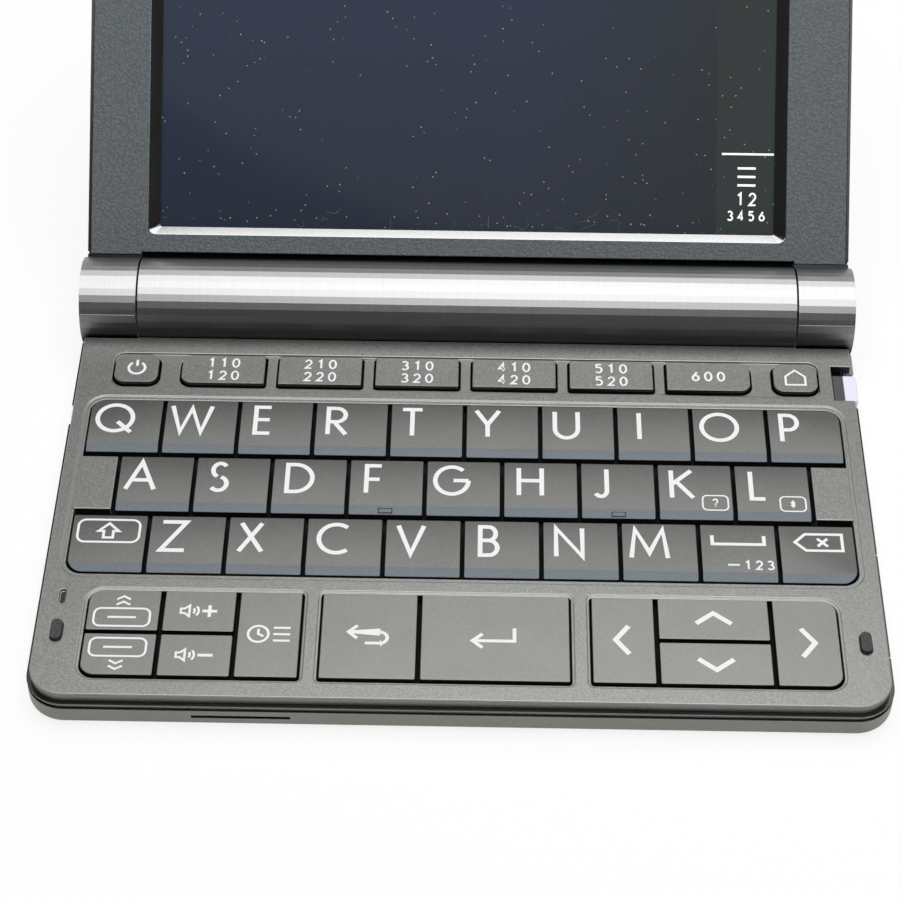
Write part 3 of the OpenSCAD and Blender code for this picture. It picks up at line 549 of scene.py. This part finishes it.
# Strokes of each character in a box of 1 by 1
STROKES = {
    "A": [line((0, 0), (0.5, 1), (1, 0)), line((0.17, 0.34), (0.83, 0.34))],
    "B": [line((0.5, 1), (0, 1), (0, 0), (0.5, 0)), arc(0.5, 0.76, 0.4, 0.24, *BOWL),
          line((0.5, 0.52), (0, 0.52)), arc(0.5, 0.26, 0.5, 0.26, *BOWL)],
    "C": [arc(0.62, 0.5, 0.62, 0.5, 52, 308, 24)],
    "D": [line((0.3, 1), (0, 1), (0, 0), (0.3, 0)), arc(0.3, 0.5, 0.7, 0.5, *BOWL, 20)],
    "E": [line((1, 1), (0, 1), (0, 0), (1, 0)), line((0, 0.52), (0.95, 0.52))],
    "F": [line((1, 1), (0, 1), (0, 0)), line((0, 0.5), (0.9, 0.5))],
    "G": [arc(0.5, 0.5, 0.5, 0.5, 48, 360, 26), line((1, 0.5), (0.55, 0.5))],
    "H": [line((0, 0), (0, 1)), line((1, 0), (1, 1)), line((0, 0.54), (1, 0.54))],
    "I": [line((0.5, 0), (0.5, 1))],
    "J": [line((1, 1), (1, 0.22)), arc(0.45, 0.22, 0.55, 0.22, 0, -150)],
    "K": [line((0, 0), (0, 1)), line((0.95, 1), (0, 0.48)), line((0.22, 0.6), (1, 0))],
    "L": [line((0, 1), (0, 0), (1, 0))],
    "M": [line((0, 0), (0.12, 1), (0.5, 0.18), (0.88, 1), (1, 0))],
    "N": [line((0, 0), (0, 1), (1, 0), (1, 1))],
    "O": [ring()],
    "P": [line((0, 0), (0, 1), (0.45, 1)), arc(0.45, 0.72, 0.55, 0.28, *BOWL),
          line((0.45, 0.44), (0, 0.44))],
    "Q": [ring(), line((0.58, 0.36), (0.98, -0.04))],
    "R": [line((0, 0), (0, 1), (0.45, 1)), arc(0.45, 0.74, 0.5, 0.26, *BOWL), line((0.45, 0.48), (0, 0.48)),
          line((0.32, 0.48), (1, 0))],
    "S": [arc(0.52, 0.75, 0.42, 0.25, 35, 250), arc(0.48, 0.25, 0.48, 0.25, 75, -145)],
    "T": [line((0, 1), (1, 1)), line((0.5, 1), (0.5, 0))],
    "U": [line((0, 1), (0, 0.34)), arc(0.5, 0.34, 0.5, 0.34, 180, 360, 16), line((1, 0.34), (1, 1))],
    "V": [line((0, 1), (0.5, 0), (1, 1))],
    "W": [line((0, 1), (0.24, 0), (0.5, 0.92), (0.76, 0), (1, 1))],
    "X": [line((0, 0), (0.95, 1)), line((0.05, 1), (1, 0))],
    "Y": [line((0, 1), (0.5, 0.46), (1, 1)), line((0.5, 0.46), (0.5, 0))],
    "Z": [line((0, 1), (1, 1), (0, 0), (1, 0))],
    "0": [ring()],
    "1": [line((0.2, 0.8), (0.6, 1), (0.6, 0))],
    "2": [arc(0.5, 0.7, 0.45, 0.3, 170, -30), line((0.89, 0.55), (0.05, 0), (1, 0))],
    "3": [arc(0.45, 0.76, 0.42, 0.24, 150, -90), arc(0.45, 0.26, 0.5, 0.26, 90, -150)],
    "4": [line((1, 0.3), (0, 0.3), (0.7, 1), (0.7, 0))],
    "5": [line((0.9, 1), (0.15, 1), (0.1, 0.56)), arc(0.45, 0.33, 0.5, 0.33, 120, -140)],
    "6": [ring(0.5, 0.3, 0.48, 0.3), line((0.1, 0.45), (0.75, 1))],
    "?": [arc(0.5, 0.72, 0.42, 0.28, 170, -60), line((0.5, 0.42), (0.5, 0.24)), line((0.5, 0.1), (0.5, 0))],
    "*": [line((0.5, 0), (0.5, 1)), line((0.07, 0.25), (0.93, 0.75)), line((0.07, 0.75), (0.93, 0.25))],
}

# Each letter's width in mm, and its distance from the key's left side
LETTER_SIZE = {
    "Q": (7.4, 0.97), "W": (8.2, 0.77), "E": (3.6, 2.37), "R": (4.2, 1.87), "T": (4.5, 1.67),
    "Y": (5.1, 1.37), "U": (5.1, 1.97), "I": (0.9, 3.57), "O": (7.4, 1.17), "P": (3.8, 1.97),
    "A": (6.0, 0.97), "S": (3.9, 2.27), "D": (5.4, 2.17), "F": (3.5, 2.57), "G": (6.9, 1.07),
    "H": (5.0, 2.27), "J": (2.8, 2.27), "K": (4.7, 1.97), "L": (3.3, 2.37), "Z": (5.1, 1.67),
    "X": (4.9, 1.57), "C": (5.9, 1.67), "V": (5.4, 1.77), "B": (3.9, 2.37), "N": (5.5, 1.87),
    "M": (7.3, 1.17),
}

# The letters' height, stroke width and distance from the key's rear side, in mm
CAP_HEIGHT, CAP_STROKE, CAP_TOP = 7.45, 0.85, 0.95

# A digit's width as a share of its height
DIGIT_WIDTH = 0.62

# The least cosine of half a bend that a strip's corner follows, and the corner's greatest reach in strokes
BEND_LEAST, BEND_REACH = 0.2, 1.3

# A path is closed when its ends are this near to each other
SAME_POINT = 1e-6


def character(c, x, y, w, h, stroke):
    """Strokes of a character whose outer box has its upper left corner at x, y."""
    def spot(p):
        return Vector((x + stroke / 2 + p.x * (w - stroke), y - stroke / 2 - (1 - p.y) * (h - stroke)))
    return [([spot(p) for p in path], stroke) for path in STROKES[c]]


def number(text, x, y, h, stroke, gap=0.3):
    """Digits in a row, centred at x, y. The gap between two is a share of their height."""
    w = DIGIT_WIDTH * h
    total = len(text) * w + (len(text) - 1) * gap * h
    return [s for i, c in enumerate(text)
            for s in character(c, x - total / 2 + i * (w + gap * h), y + h / 2, w, h, stroke)]


def icon(x, y, stroke, *paths, turn=0, size=1.0):
    """Paths drawn round 0, 0 and then turned, sized and moved."""
    c, s = math.cos(math.radians(turn)), math.sin(math.radians(turn))

    def spot(p):
        return Vector((x + size * (p.x * c - p.y * s), y + size * (p.x * s + p.y * c)))
    return [([spot(p) for p in path], stroke) for path in paths]


CHEVRON = line((-3.05, -0.95), (0, 1.35), (3.05, -0.95))
SMALL_CHEVRON = line((-1.2, -0.35), (0, 0.35), (1.2, -0.35))
CONE = line((-1.5, 0.5), (-0.85, 0.5), (0, 1.2), (0, -1.2), (-0.85, -0.5), (-1.5, -0.5), (-1.5, 0.5))
WAVES = (arc(0.1, 0, 0.8, 0.8, -42, 42, 6), arc(0.1, 0, 1.5, 1.5, -42, 42, 8))
MINUS = line((-1.3, 0), (1.3, 0))
PLUS = line((0, -1.3), (0, 1.3))


def page_key(y):
    """A bar in a rounded box on the keys previous and next."""
    return icon(6.0, y, 0.4, rounded_box(9.7, 3.9, 1.2)) + icon(6.0, y, 0.45, MINUS, size=1.9)


def key_print(node, w, d):
    """A key's print as paths and strokes' widths, in mm from its rear left corner, with y to the rear."""
    name = node[4:]
    mid, half = w / 2, -d / 2
    if name.upper() in LETTER_SIZE:
        width, left = LETTER_SIZE[name.upper()]
        marks = character(name.upper(), left, -CAP_TOP, width, CAP_HEIGHT, CAP_STROKE)
        if name in "kl":
            sign = {"k": "?", "l": "*"}[name]
            marks += icon(10.15, -9.1, 0.3, rounded_box(4.6, 3.5, 0.9))
            marks += character(sign, 9.55, -8.05, 1.2, 2.1, 0.32)
        return marks
    if name.startswith("title_"):
        n = int(name[-1]) * 100
        if n == 600:
            return number("600", mid, half, 2.6, 0.42)
        upper, lower = ((n + 10, half + 1.65), (n + 20, half - 1.65))
        return [mark for value, y in (upper, lower) for mark in number(str(value), mid, y, 2.5, 0.38)]
    if name == "power":
        return icon(mid, half, 0.5, arc(0, 0, 1.55, 1.55, 125, 415, 24), line((0, 0.5), (0, 2.1)))
    if name == "home":
        house = line((0, 1.95), (1.85, 0.3), (1.85, -1.85), (-1.85, -1.85), (-1.85, 0.3), (0, 1.95))
        return icon(mid, half, 0.42, house)
    if name == "shift":
        arrow = line((0, 1.9), (1.9, 0), (0.9, 0), (0.9, -1.6), (-0.9, -1.6), (-0.9, 0), (-1.9, 0),
                     (0, 1.9))
        return icon(6.57, -3.7, 0.45, rounded_box(11, 5.2, 1.4)) + icon(6.57, -3.75, 0.5, arrow, size=0.95)
    if name == "space":
        return icon(mid, -3.6, 0.65, line((-4.6, 1.1), (-4.6, -0.9), (4.6, -0.9), (4.6, 1.1))) \
            + number("123", 10.1, -9.3, 2.2, 0.34) + icon(5.6, -9.3, 0.4, MINUS, size=0.8)
    if name == "delete":
        tag = line((-4.2, 0), (-2.3, 1.9), (4.2, 1.9), (4.2, -1.9), (-2.3, -1.9), (-4.2, 0))
        cross = (line((-0.2, 0.9), (1.6, -0.9)), line((-0.2, -0.9), (1.6, 0.9)))
        return icon(mid + 0.3, -3.8, 0.55, tag, *cross)
    if name == "previous":
        chevrons = icon(6.0, -1.75, 0.4, SMALL_CHEVRON) + icon(6.0, -2.95, 0.4, SMALL_CHEVRON)
        return chevrons + page_key(-6.05)
    if name == "next":
        chevrons = [mark for y in (-6.15, -7.35) for mark in icon(6.0, y, 0.4, SMALL_CHEVRON, turn=180)]
        return page_key(-2.95) + chevrons
    if name.startswith("volume"):
        sign = [MINUS, PLUS] if name == "volume_up" else [MINUS]
        return icon(4.4, half, 0.4, CONE, *WAVES) + icon(7.9, half, 0.6, *sign)
    if name == "history":
        clock = (ring(0, 0, 1.75, 1.75), line((0, 1.1), (0, 0), (0.9, -0.5)))
        lines = (line((0, 1.4), (2.9, 1.4)), line((0, 0), (2.9, 0)), line((0, -1.4), (2.9, -1.4)))
        return icon(mid - 1.8, half, 0.45, *clock) + icon(mid + 0.8, half, 0.45, *lines)
    if name == "back":
        turn = arc(2, -0.4, 1.2, 1.2, -90, 90, 10)
        bend = line((-0.6, -1.6), (2, -1.6)) + turn + line((2, 0.8), (-3.4, 0.8))
        return icon(mid, half, 0.6, bend, line((-2, 2.2), (-3.5, 0.8), (-2, -0.6)))
    if name == "enter":
        return icon(mid - 0.3, half, 0.65, line((3.6, 2.1), (3.6, -0.7), (-3.4, -0.7)),
                    line((-1.9, 0.8), (-3.6, -0.7), (-1.9, -2.2)))
    turn = {"up": 0, "left": 90, "down": 180, "right": 270}[name]
    return icon(mid, half, 0.9, CHEVRON, turn=turn)


def ribbon(bm, path, stroke, spot, material):
    """A flat strip of a given width along a path, with mitred bends. spot turns x, y into a point."""
    closed = (path[0] - path[-1]).length < SAME_POINT
    points = path[:-1] if closed else path
    count = len(points)
    left, right = [], []
    for i, p in enumerate(points):
        before = points[i - 1] if closed or i else None
        after = points[(i + 1) % count] if closed or i < count - 1 else None
        ways = [(b - a).normalized() for a, b in ((before, p), (p, after)) if None not in (a, b)]
        sides = [Vector((-way.y, way.x)) for way in ways]
        middle = sum(sides, Vector((0, 0))).normalized()
        reach = min(stroke / 2 / max(middle.dot(sides[0]), BEND_LEAST), BEND_REACH * stroke)
        left.append(bm.verts.new(spot(p + middle * reach)))
        right.append(bm.verts.new(spot(p - middle * reach)))
    for i in range(count if closed else count - 1):
        j = (i + 1) % count
        face = bm.faces.new((left[i], right[i], right[j], left[j]))
        face.material_index = material
        face.smooth = False


# Height of print over its surface, and the step from one stroke to the next, in mm
INK_LIFT, INK_STEP = 0.012, 0.0015


def printed(bm, marks, origin, material):
    """Adds marks to a mesh, each stroke a hair above the one before, so that no two lie in one plane."""
    for i, (path, stroke) in enumerate(marks):
        z = origin.z + (INK_LIFT + INK_STEP * i) * MM
        ribbon(bm, path, stroke, lambda p: Vector((origin.x + p.x * MM, origin.y + p.y * MM, z)), material)


def key(node):
    """A key cap with its print. The keys behind and in front of the letters have paints of their own."""
    lo, hi = BOX[node]
    in_front = hi.y < BOX["key_shift"][0].y
    behind = lo.y > BOX["key_q"][1].y
    top = FRONT_TOP if in_front else DECK if behind else KEY_TOP
    looks = [top, SHADED_KEY_SLOPE, BLACK, INK]
    marks = key_print(node, (hi.x - lo.x) / MM, (hi.y - lo.y) / MM)
    corner = Vector((lo.x, hi.y, hi.z))
    refined(node, looks, key_face,
            width=0.14, extra=lambda bm: printed(bm, marks, corner, looks.index(INK)))


# ---- Parts that the CAD leaves out ----

# Edges of the small pieces above this angle are sharp
SHARP_ANGLE = math.radians(35)


def solid(name, build, look, body, space=ROW, bevel=0.0):
    """A small piece made by a function that fills a mesh. Its bevel is in mm."""
    bm = bmesh.new()
    build(bm)
    for face in bm.faces:
        face.smooth = True
    mesh = bpy.data.meshes.new(name)
    bm.to_mesh(mesh)
    bm.free()
    mesh.set_sharp_from_angle(angle=SHARP_ANGLE)
    obj = put(name, mesh, [look], space, body)
    if bevel:
        modifier = obj.modifiers.new("edges", "BEVEL")
        modifier.width = bevel * MM
        modifier.segments = 2


def slab(x, y, z, w, d, h):
    """Builds a block centred at x, y, with its underside at z, in metres."""
    def build(bm):
        at = Matrix.Translation((x, y, z + h / 2)) @ Matrix.Diagonal((w, d, h, 1))
        bmesh.ops.create_cube(bm, size=1, matrix=at)
    return build


# A spring's points for each turn, and the share of its width that it loses towards the cell
TURN_POINTS, TAPER = 24, 0.45


def spring(name, x, length, turns, coil, wire, body):
    """A contact spring along X that narrows towards the cell. The radii of coil and wire are in mm."""
    curve = bpy.data.curves.new(name, "CURVE")
    curve.dimensions = "3D"
    curve.bevel_depth = wire * MM
    curve.bevel_resolution = 4
    steps = turns * TURN_POINTS
    spline = curve.splines.new("POLY")
    spline.points.add(steps)
    for i in range(steps + 1):
        share = i / steps
        turn = 2 * math.pi * turns * share
        r = coil * MM * (1 - TAPER * share)
        y, z = AXIS.y + r * math.cos(turn), AXIS.z + r * math.sin(turn)
        spline.points[i].co = (x + length * share, y, z, 1)
    curve.materials.append(STEEL.material)
    obj = bpy.data.objects.new(name, curve)
    bpy.context.scene.collection.objects.link(obj)
    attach(obj, body)


def contacts():
    """A spring and two plates at the ends of the battery compartment."""
    cells_start = BOX["battery_cells"][0].x
    room_start, room_end = (corner.x for corner in BOX["battery_cover"])
    plate, side = 0.2 * MM, 9 * MM
    room = cells_start - room_start - 3 * plate
    spring("contact_spring", room_start + 2 * plate, room, turns=4, coil=4.2, wire=0.3, body="base")
    for name, x in (("contact_plate_minus", room_start + plate), ("contact_plate_plus", room_end)):
        build = slab(x, AXIS.y, AXIS.z - side / 2, plate, side, side)
        solid(name, build, BRASS, "base", bevel=0.04)


def prism(path, low, high, to_point):
    """Builds a closed outline between two levels. to_point makes a point of its a, b and a level."""
    def build(bm):
        ends = [[bm.verts.new(to_point(a, b, level)) for a, b in path] for level in (low, high)]
        for i in range(len(path)):
            j = (i + 1) % len(path)
            bm.faces.new((ends[0][i], ends[0][j], ends[1][j], ends[1][i]))
        bm.faces.new(ends[0])
        bm.faces.new(ends[1])
        bmesh.ops.recalc_face_normals(bm, faces=bm.faces)
    return build


# The mat: how far its underside lies under the letter keys, which press 0.8 mm, and its thickness
MAT_DROP, MAT = 0.89 * MM, 0.04 * MM


def key_mat():
    """The black sheet under the keys that hides the board, cut out round the stylus."""
    pen_lo, pen_hi = BOX["stylus"]
    side = BOX["upper_case"][1].x - 1.1 * MM
    rear, front = BOX["key_power"][1].y + 1 * MM, BOX["key_enter"][0].y - 0.5 * MM
    notch, notch_front, notch_rear = pen_hi.x - 5.2 * MM, pen_lo.y - 0.4 * MM, pen_hi.y + 0.3 * MM
    outline = [(-side, front), (side, front), (side, notch_front), (notch, notch_front),
               (notch, notch_rear), (side, notch_rear), (side, rear), (-side, rear)]
    under = BOX["key_q"][0].z - MAT_DROP
    build = prism(outline, under, under + MAT, lambda a, b, z: (a, b, z))
    solid("key_mat", build, SHADE, "base")


def lid_lip():
    """A black lip on the lid's near edge that follows the barrel and closes the gap beside it."""
    inner, outer, wall = BARREL_R + 0.3 * MM, BARREL_R + 0.6 * MM, BARREL_R + 1.25 * MM
    top, low = -2.0 * MM, -2.5 * MM
    start, end, count = math.asin(top / inner), math.radians(-40), 12
    steps = [start + (end - start) * i / count for i in range(count + 1)]
    outline = [(wall, top)] + [(inner * math.cos(a), inner * math.sin(a)) for a in steps]
    outline += [(outer * math.cos(a), min(outer * math.sin(a), low)) for a in reversed(steps)]
    outline += [(wall, low)]
    half = BOX["hinge_barrel"][1].x + 0.28 * MM
    build = prism(outline, -half, half, lambda a, b, x: (x, a, b))
    solid("lid_lip", build, SHADE, "lid", LID)


# Where the knuckles' seam runs, from the rear over the top, and half its width, its height and its depth
SEAM_ANGLE = math.radians(154)
SEAM_HALF, SEAM_PROUD, SEAM_ROOT = 0.08 * MM, 0.03 * MM, 0.3 * MM


def knuckle_seams():
    """The seam along each knuckle where its two halves meet: a thin raised strip of pale paint, a painted
    highlight for the bright line along it.
    """
    out = Vector((0, math.cos(SEAM_ANGLE), math.sin(SEAM_ANGLE)))
    along = Vector((0, -math.sin(SEAM_ANGLE), math.cos(SEAM_ANGLE)))
    low_r, high_r = BARREL_R - SEAM_ROOT, BARREL_R + SEAM_PROUD
    profile = ((low_r, -SEAM_HALF), (high_r, -SEAM_HALF), (high_r, SEAM_HALF), (low_r, SEAM_HALF))
    outline = [AXIS + out * r + along * w for r, w in profile]
    inner, outer = BOX["hinge_barrel"][1].x + 0.4 * MM, BOX["lid_rear_cover"][1].x - 0.2 * MM
    for side, low, high in (("left", -outer, -inner), ("right", inner, outer)):
        build = prism([(p.y, p.z) for p in outline], low, high, lambda a, b, x: (x, a, b))
        solid(f"knuckle_seam_{side}", build, PAINTED_HIGHLIGHT_SEAM, "lid")


def touch_strip_print():
    """White line, menu bars and plain numbers on the strip beside the display, in the lid's own frame, printed
    with a painted glow.
    """
    bars = [line((-1.75, y), (1.75, y)) for y in (1.65, 0, -1.65)]
    marks = icon(54.1, 30.5, 0.4, line((-5.05, 0), (5.05, 0))) + icon(53.9, 26.1, 0.45, *bars)
    marks += number("12", 53.9, 21.75, 2.6, 0.36) + number("3456", 53.9, 18.5, 2.0, 0.32, 0.4)
    bm = bmesh.new()
    printed(bm, marks, Vector((0, 0, GLASS_TOP)), 0)
    mesh = bpy.data.meshes.new("touch_strip_print")
    bm.to_mesh(mesh)
    bm.free()
    put("touch_strip_print", mesh, [PAINTED_GLOW_ICON], LID, "lid")


# ---- The object ----

refined("lower_case", [CASE, BLACK], lower_case_face, width=0.12)
# The deck's bevels take the paler paint of a painted highlight
refined("upper_case", [DECK, BLACK, PAINTED_HIGHLIGHT_RIM], upper_case_face, width=0.18, rim=2)
refined("hinge_barrel", [SILVER, BLACK], barrel_face, width=0.1, facet=5)
refined("battery_cover", [SILVER, BLACK], barrel_face, width=0.05, facet=5)
refined("battery_cells", [JACKET], width=0.3, segments=3)
refined("circuit_board", [BOARD], width=0.02)
refined("hinge_pins", [STEEL], width=0.2)
refined("stylus", [STYLUS], width=0.3, segments=3)
refined("rubber_feet", [RUBBER], width=0.25, segments=3)
refined("lid_rear_cover", [SILVER, BLACK], lid_face, space=LID, width=0.1, facet=5, clamp=True)
refined("lid_bezel", [BEZEL, TRIM], bezel_face, space=LID, width=0.15, extra=narrow_trim)
refined("display_panel", [GLASS], space=LID, width=0.05)
for node in KEYS:
    key(node)
contacts()
key_mat()
lid_lip()
knuckle_seams()
touch_strip_print()


# ---- Floor, light and camera ----

# Share of the floor's own white where the camera or gloss sees it, the rest being the lit paper with its
# shadow: FLOOR_GLOW up to the near distance from the middle, and 1 from the far distance on
FLOOR_GLOW = 0.85
GLOW_NEAR, GLOW_FAR = 0.12, 0.6
FLOOR_HALF = 3.0


def floor():
    """Pale paper that looks white from afar and keeps the object's shadow."""
    corners = [(x * FLOOR_HALF, y * FLOOR_HALF, 0) for x, y in ((-1, -1), (1, -1), (1, 1), (-1, 1))]
    mesh = bpy.data.meshes.new("floor")
    mesh.from_pydata(corners, [], [(0, 1, 2, 3)])
    paper = Look("floor_paper", grey(0.93), 0.9, Specular_IOR_Level=0.0)
    rays = paper.add("ShaderNodeLightPath").outputs
    seen = paper.math("ADD", rays["Is Camera Ray"], rays["Is Glossy Ray"])
    seen = paper.math("ADD", seen, rays["Is Transmission Ray"], clamp=True)
    white = paper.add("ShaderNodeEmission", {"Color": grey(1.0), "Strength": 1.0})
    away = paper.add("ShaderNodeVectorMath", {0: paper.place}, operation="LENGTH").outputs["Value"]
    glow = paper.between(away, GLOW_NEAR, GLOW_FAR, FLOOR_GLOW, 1.0)
    both = paper.add("ShaderNodeMixShader", {0: paper.math("MULTIPLY", seen, glow)})
    paper.plug(both.inputs[1], paper.bsdf.outputs[0])
    paper.plug(both.inputs[2], white.outputs[0])
    out = next(n for n in paper.tree.nodes if n.type == "OUTPUT_MATERIAL")
    paper.plug(out.inputs["Surface"], both.outputs[0])
    put("floor", mesh, [paper], ROW, None)


def softbox(name, at, width, length, radiance):
    """An oval light that faces down, of a given radiance in watts per square metre and steradian."""
    data = bpy.data.lights.new(name, "AREA")
    data.shape = "ELLIPSE"
    data.size = width
    data.size_y = length
    data.energy = radiance * math.pi * math.pi / 4 * width * length
    obj = bpy.data.objects.new(name, data)
    bpy.context.scene.collection.objects.link(obj)
    obj.location = at


# The backdrop that gloss sees, by a direction's parts along Y and Z: it begins between the first two, and
# ends between the others
BACKDROP_FRONT, BACKDROP_REAR = -0.1, 0.15
BACKDROP_END, BACKDROP_FULL = 0.6, 0.3


def world(dim):
    """White for the camera. Gloss sees a white backdrop behind the object and a dim room elsewhere."""
    scene = bpy.context.scene
    scene.world = bpy.data.worlds.new("studio")
    scene.world.use_nodes = True
    nodes = Nodes(scene.world.node_tree)
    nodes.tree.nodes.clear()
    direction = nodes.add("ShaderNodeTexCoord").outputs["Generated"]
    way = nodes.add("ShaderNodeSeparateXYZ", {0: direction}).outputs
    behind = nodes.between(way["Y"], BACKDROP_FRONT, BACKDROP_REAR, interpolation_type="SMOOTHSTEP")
    below = nodes.between(way["Z"], BACKDROP_END, BACKDROP_FULL, interpolation_type="SMOOTHSTEP")
    backdrop = nodes.math("MAXIMUM", nodes.math("MULTIPLY", behind, below), dim)
    rays = nodes.add("ShaderNodeLightPath").outputs
    gloss = nodes.math("MAXIMUM", rays["Is Glossy Ray"], rays["Is Transmission Ray"])
    level = nodes.blend(rays["Is Camera Ray"], nodes.blend(gloss, dim, backdrop), 1.0)
    background = nodes.add("ShaderNodeBackground", {"Color": grey(1.0), "Strength": level})
    nodes.add("ShaderNodeOutputWorld", {"Surface": background.outputs[0]})


# The camera, fitted to the photo's straight lines: sensor and lens in mm, its place from the hinge axis and
# the deck, and where its right side and its lens point
SENSOR, FOCAL = 36, 98.09
CAMERA_SIDE, CAMERA_FRONT, CAMERA_UP = 1.556 * MM, 343.133 * MM, 331.372 * MM
CAMERA_RIGHT = Vector((0.99983382, 0.01781045, 0.00388842))
CAMERA_FORWARD = Vector((-0.00923631, 0.67880802, -0.7342577))


def camera():
    """Looks at the object as the photo does."""
    data = bpy.data.cameras.new("camera")
    data.sensor_width = SENSOR
    data.lens = FOCAL
    obj = bpy.data.objects.new("camera", data)
    bpy.context.scene.collection.objects.link(obj)
    up = CAMERA_RIGHT.cross(CAMERA_FORWARD)
    turn = Matrix((CAMERA_RIGHT, up, -CAMERA_FORWARD)).transposed().to_4x4()
    spot = Vector((CAMERA_SIDE, AXIS.y - CAMERA_FRONT, DECK_Z + CAMERA_UP))
    obj.matrix_world = Matrix.Translation(spot) @ turn
    bpy.context.scene.camera = obj


floor()
softbox("overhead", at=(0.1, 0.045, 1.0), width=1.15, length=1.62, radiance=3.3)
world(dim=0.03)
camera()
bpy.context.scene.view_settings.view_transform = "Standard"
